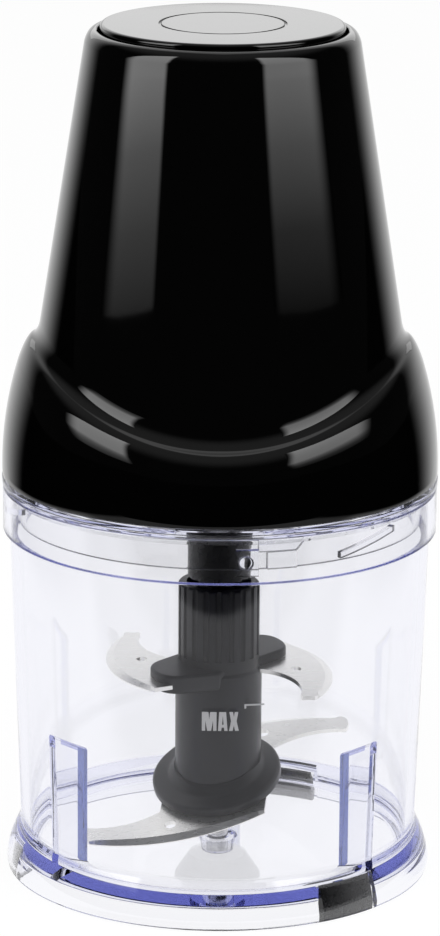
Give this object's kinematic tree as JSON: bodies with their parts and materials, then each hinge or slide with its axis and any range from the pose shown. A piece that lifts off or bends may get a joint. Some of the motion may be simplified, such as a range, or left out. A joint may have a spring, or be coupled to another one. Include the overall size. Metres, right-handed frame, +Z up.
{
  "type": "electric food chopper",
  "caption": "Mini electric food chopper: gloss black conical motor unit with a saddle-edged skirt and press button on a clear bowl with a two-level blade.",
  "frame": {"origin": "centre of the circle on which the three feet stand, on the table", "axes": "+Z up along the axis of bowl, blades and motor; -Y is the front, towards the camera; +X is to the right in the picture"},
  "size_m": [0.1206, 0.1206, 0.2392],
  "materials": {
    "clear_san": "clear injection-moulded SAN, polished, faint blue edge",
    "gloss_black_abs": "injection-moulded ABS, high gloss black",
    "black_abs": "black moulded ABS, satin",
    "spindle_grey": "moulded dark grey plastic, semi-gloss",
    "hub_black": "black acetal, satin",
    "blade_steel": "stainless steel sheet, fine grinding along the blade",
    "pin_steel": "ground stainless steel rod",
    "screw_steel": "zinc-plated steel",
    "spring_steel": "drawn spring wire",
    "lamination_steel": "stacked electrical steel plates",
    "foot_rubber": "black moulded rubber, smooth",
    "seal_silicone": "milky silicone",
    "seal_rubber": "black nitrile rubber",
    "gear_nylon": "natural nylon",
    "brass": "turned or folded brass",
    "bearing_bronze": "sintered bronze",
    "copper_wire": null,
    "carbon": "pressed carbon",
    "switch_red": "red moulded plastic"
  },
  "bodies": {
    "bowl": {"bowl": "clear_san", "bowl_pin": "pin_steel", "rubber_feet": "foot_rubber"},
    "blade_assembly": {"spindle": "spindle_grey", "upper_blade": "blade_steel", "lower_blade": "blade_steel"},
    "lid": {"lid": "clear_san", "lid_seal": "seal_silicone"},
    "motor_unit": {"motor_housing": "gloss_black_abs", "base_plate": "black_abs", "base_screws": "screw_steel", "cord_inlet": "seal_rubber", "output_bush": "bearing_bronze", "shaft_seal": "seal_rubber", "ring_gear": "gear_nylon", "gear_cover": "black_abs", "gearbox_screws": "screw_steel", "lower_bearing": "bearing_bronze", "stator_core": "lamination_steel", "field_coils": "copper_wire", "motor_bracket": "black_abs", "motor_screws": "screw_steel", "upper_bearing": "bearing_bronze", "brush_holders": "brass", "carbon_brushes": "carbon", "switch_plate": "black_abs", "switch_screws": "screw_steel", "start_switch": "black_abs", "safety_switch": "black_abs", "button_spring": "spring_steel", "safety_spring": "spring_steel"},
    "rotor": {"motor_shaft": "pin_steel", "sun_gear": "screw_steel", "cooling_fan": "gear_nylon", "rotor_core": "lamination_steel", "rotor_winding": "copper_wire", "commutator": "copper_wire"},
    "output": {"gear_carrier": "black_abs", "planet_pins": "pin_steel", "drive_hub": "hub_black"},
    "planet_1": {"planet_gear_1": "gear_nylon"},
    "planet_2": {"planet_gear_2": "gear_nylon"},
    "planet_3": {"planet_gear_3": "gear_nylon"},
    "button": {"press_button": "gloss_black_abs"},
    "start_plunger": {"switch_plunger": "switch_red"},
    "lid_plunger": {"safety_plunger": "gear_nylon"}
  },
  "joints": [
    {"name": "lid_twist", "type": "hinge", "parent": "bowl", "child": "lid", "pos_m": [0, 0, 0.1113], "axis": [0, 0, 1], "range_deg": [0, 12]},
    {"name": "unit_lift", "type": "slide", "parent": "lid", "child": "motor_unit", "axis": [0, 0, 1], "range_m": [0, 0.12]},
    {"name": "rotor_spin", "type": "hinge", "parent": "motor_unit", "child": "rotor", "pos_m": [0, 0, 0.16], "axis": [0, 0, 1], "continuous": true},
    {"name": "output_spin", "type": "hinge", "parent": "motor_unit", "child": "output", "pos_m": [0, 0, 0.115], "axis": [0, 0, 1], "continuous": true},
    {"name": "planet_1_spin", "type": "hinge", "parent": "output", "child": "planet_1", "pos_m": [0.015, 0, 0.1246], "axis": [0, 0, 1], "continuous": true},
    {"name": "planet_2_spin", "type": "hinge", "parent": "output", "child": "planet_2", "pos_m": [-0.0075, 0.01299, 0.1246], "axis": [0, 0, 1], "continuous": true},
    {"name": "planet_3_spin", "type": "hinge", "parent": "output", "child": "planet_3", "pos_m": [-0.0075, -0.01299, 0.1246], "axis": [0, 0, 1], "continuous": true},
    {"name": "blade_spin", "type": "hinge", "parent": "bowl", "child": "blade_assembly", "pos_m": [0, 0, 0.05], "axis": [0, 0, 1], "continuous": true},
    {"name": "button_press", "type": "slide", "parent": "motor_unit", "child": "button", "axis": [0, 0, 1], "range_m": [-0.0035, 0], "stiffness_N_per_m": 1200, "springref_m": 0.002, "deforming": ["button_spring"]},
    {"name": "start_plunger_press", "type": "slide", "parent": "motor_unit", "child": "start_plunger", "axis": [0, 0, 1], "range_m": [-0.0035, 0]},
    {"name": "lid_plunger_push", "type": "slide", "parent": "motor_unit", "child": "lid_plunger", "axis": [0, 0, 1], "range_m": [0, 0.0025], "stiffness_N_per_m": 250, "springref_m": -0.002, "deforming": ["safety_spring"]}
  ],
  "couplings": [
    {"joint": "output_spin", "follows": "rotor_spin", "ratio": 0.2},
    {"joint": "planet_1_spin", "follows": "rotor_spin", "ratio": -0.53333},
    {"joint": "planet_2_spin", "follows": "rotor_spin", "ratio": -0.53333},
    {"joint": "planet_3_spin", "follows": "rotor_spin", "ratio": -0.53333},
    {"joint": "blade_spin", "follows": "rotor_spin", "ratio": 0.2},
    {"joint": "start_plunger_press", "follows": "button_press", "ratio": 1}
  ]
}
